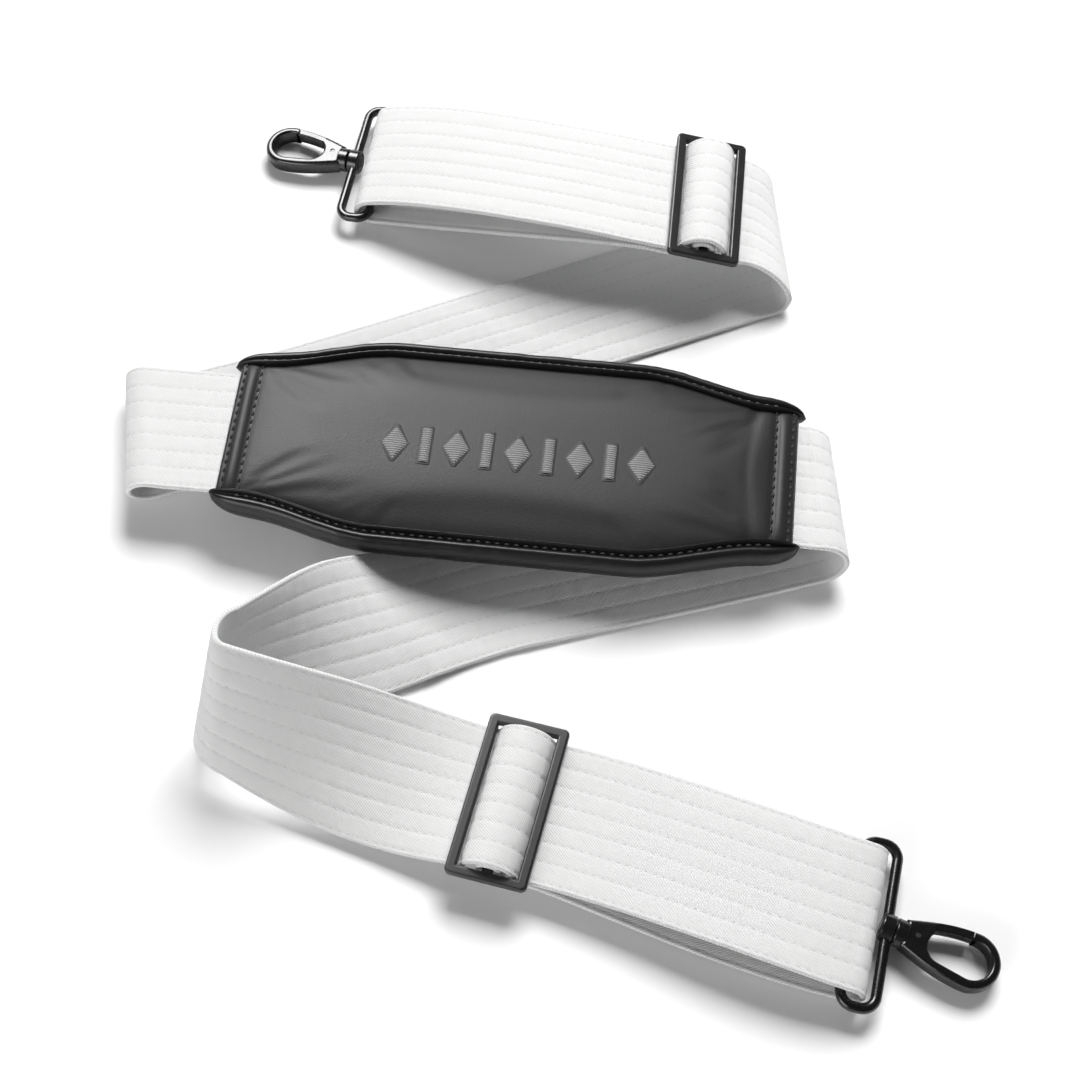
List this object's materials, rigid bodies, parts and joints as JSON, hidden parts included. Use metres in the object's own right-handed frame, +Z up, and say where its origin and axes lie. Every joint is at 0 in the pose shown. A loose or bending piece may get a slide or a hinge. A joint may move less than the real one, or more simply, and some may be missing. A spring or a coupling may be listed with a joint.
{
  "type": "padded shoulder strap",
  "caption": "Padded shoulder strap in quilted webbing with slide adjusters, rectangular rings and swivel snap hooks, laid in an S on a flat surface.",
  "frame": {"origin": "middle of the footprint on the resting surface", "axes": "+Z up from the resting surface, +X towards the pad's right end, +Y away from the viewer, towards the upper strap end"},
  "size_m": [0.3008, 0.372, 0.0549],
  "materials": {
    "webbing": "white cotton webbing with lengthwise stitch rows",
    "cover": "black leatherette, fine grain, satin",
    "binding": "black leatherette binding, satin",
    "foam": "hidden foam core",
    "motif": "grey satin embroidery thread",
    "slider": "black painted steel, satin",
    "ring": "black painted steel, glossy",
    "hook": "black painted steel, glossy",
    "pin": "blackened steel",
    "spring": "spring steel"
  },
  "bodies": {
    "strap": {"pad_bottom_cover": "cover", "pad_foam_core": "foam", "pad_top_cover": "cover", "pad_motif": "motif", "edge_binding_front": "binding", "edge_binding_back": "binding", "upper_webbing": "webbing", "lower_webbing": "webbing"},
    "upper_slider": {"upper_slide_adjuster": "slider"},
    "upper_ring_body": {"upper_ring": "ring"},
    "upper_hook": {"upper_hook_body": "hook", "upper_swivel_stem": "pin", "upper_gate_pin": "pin", "upper_gate_spring": "spring"},
    "upper_gate": {"upper_hook_gate": "hook"},
    "lower_slider": {"lower_slide_adjuster": "slider"},
    "lower_ring_body": {"lower_ring": "ring"},
    "lower_hook": {"lower_hook_body": "hook", "lower_swivel_stem": "pin", "lower_gate_pin": "pin", "lower_gate_spring": "spring"},
    "lower_gate": {"lower_hook_gate": "hook"}
  },
  "joints": [
    {"name": "upper_slider_slide", "type": "slide", "parent": "strap", "child": "upper_slider", "axis": [-0.9762, 0.1026, 0.1908], "range_m": [-0.008, 0.03], "deforming": ["upper_webbing"]},
    {"name": "upper_ring_swing", "type": "hinge", "parent": "strap", "child": "upper_ring_body", "pos_m": [-0.05921, 0.15554, 0.00729], "axis": [0.1874, 0.9823, 0], "range_deg": [0, 60]},
    {"name": "upper_hook_swivel", "type": "hinge", "parent": "upper_ring_body", "child": "upper_hook", "pos_m": [-0.07047, 0.15769, 0.00645], "axis": [-0.9532, 0.2933, -0.0732], "continuous": true},
    {"name": "upper_gate_hinge", "type": "hinge", "parent": "upper_hook", "child": "upper_gate", "pos_m": [-0.0793, 0.16124, 0.00575], "axis": [-0.07, 0.0215, 0.9973], "range_deg": [0, 25], "stiffness_Nm_per_rad": 0.01, "springref_deg": -17.19},
    {"name": "lower_slider_slide", "type": "slide", "parent": "strap", "child": "lower_slider", "axis": [0.9658, -0.2588, 0.0175], "range_m": [-0.008, 0.03], "deforming": ["lower_webbing"]},
    {"name": "lower_ring_swing", "type": "hinge", "parent": "strap", "child": "lower_ring_body", "pos_m": [0.10389, -0.15546, 0.00729], "axis": [-0.2334, -0.9724, 0], "range_deg": [0, 60]},
    {"name": "lower_hook_swivel", "type": "hinge", "parent": "lower_ring_body", "child": "lower_hook", "pos_m": [0.11504, -0.15814, 0.00645], "axis": [0.9214, -0.3817, -0.0732], "continuous": true},
    {"name": "lower_gate_hinge", "type": "hinge", "parent": "lower_hook", "child": "lower_gate", "pos_m": [0.1241, -0.16102, 0.00575], "axis": [-0.0677, 0.028, -0.9973], "range_deg": [0, 25], "stiffness_Nm_per_rad": 0.01, "springref_deg": -17.19}
  ]
}
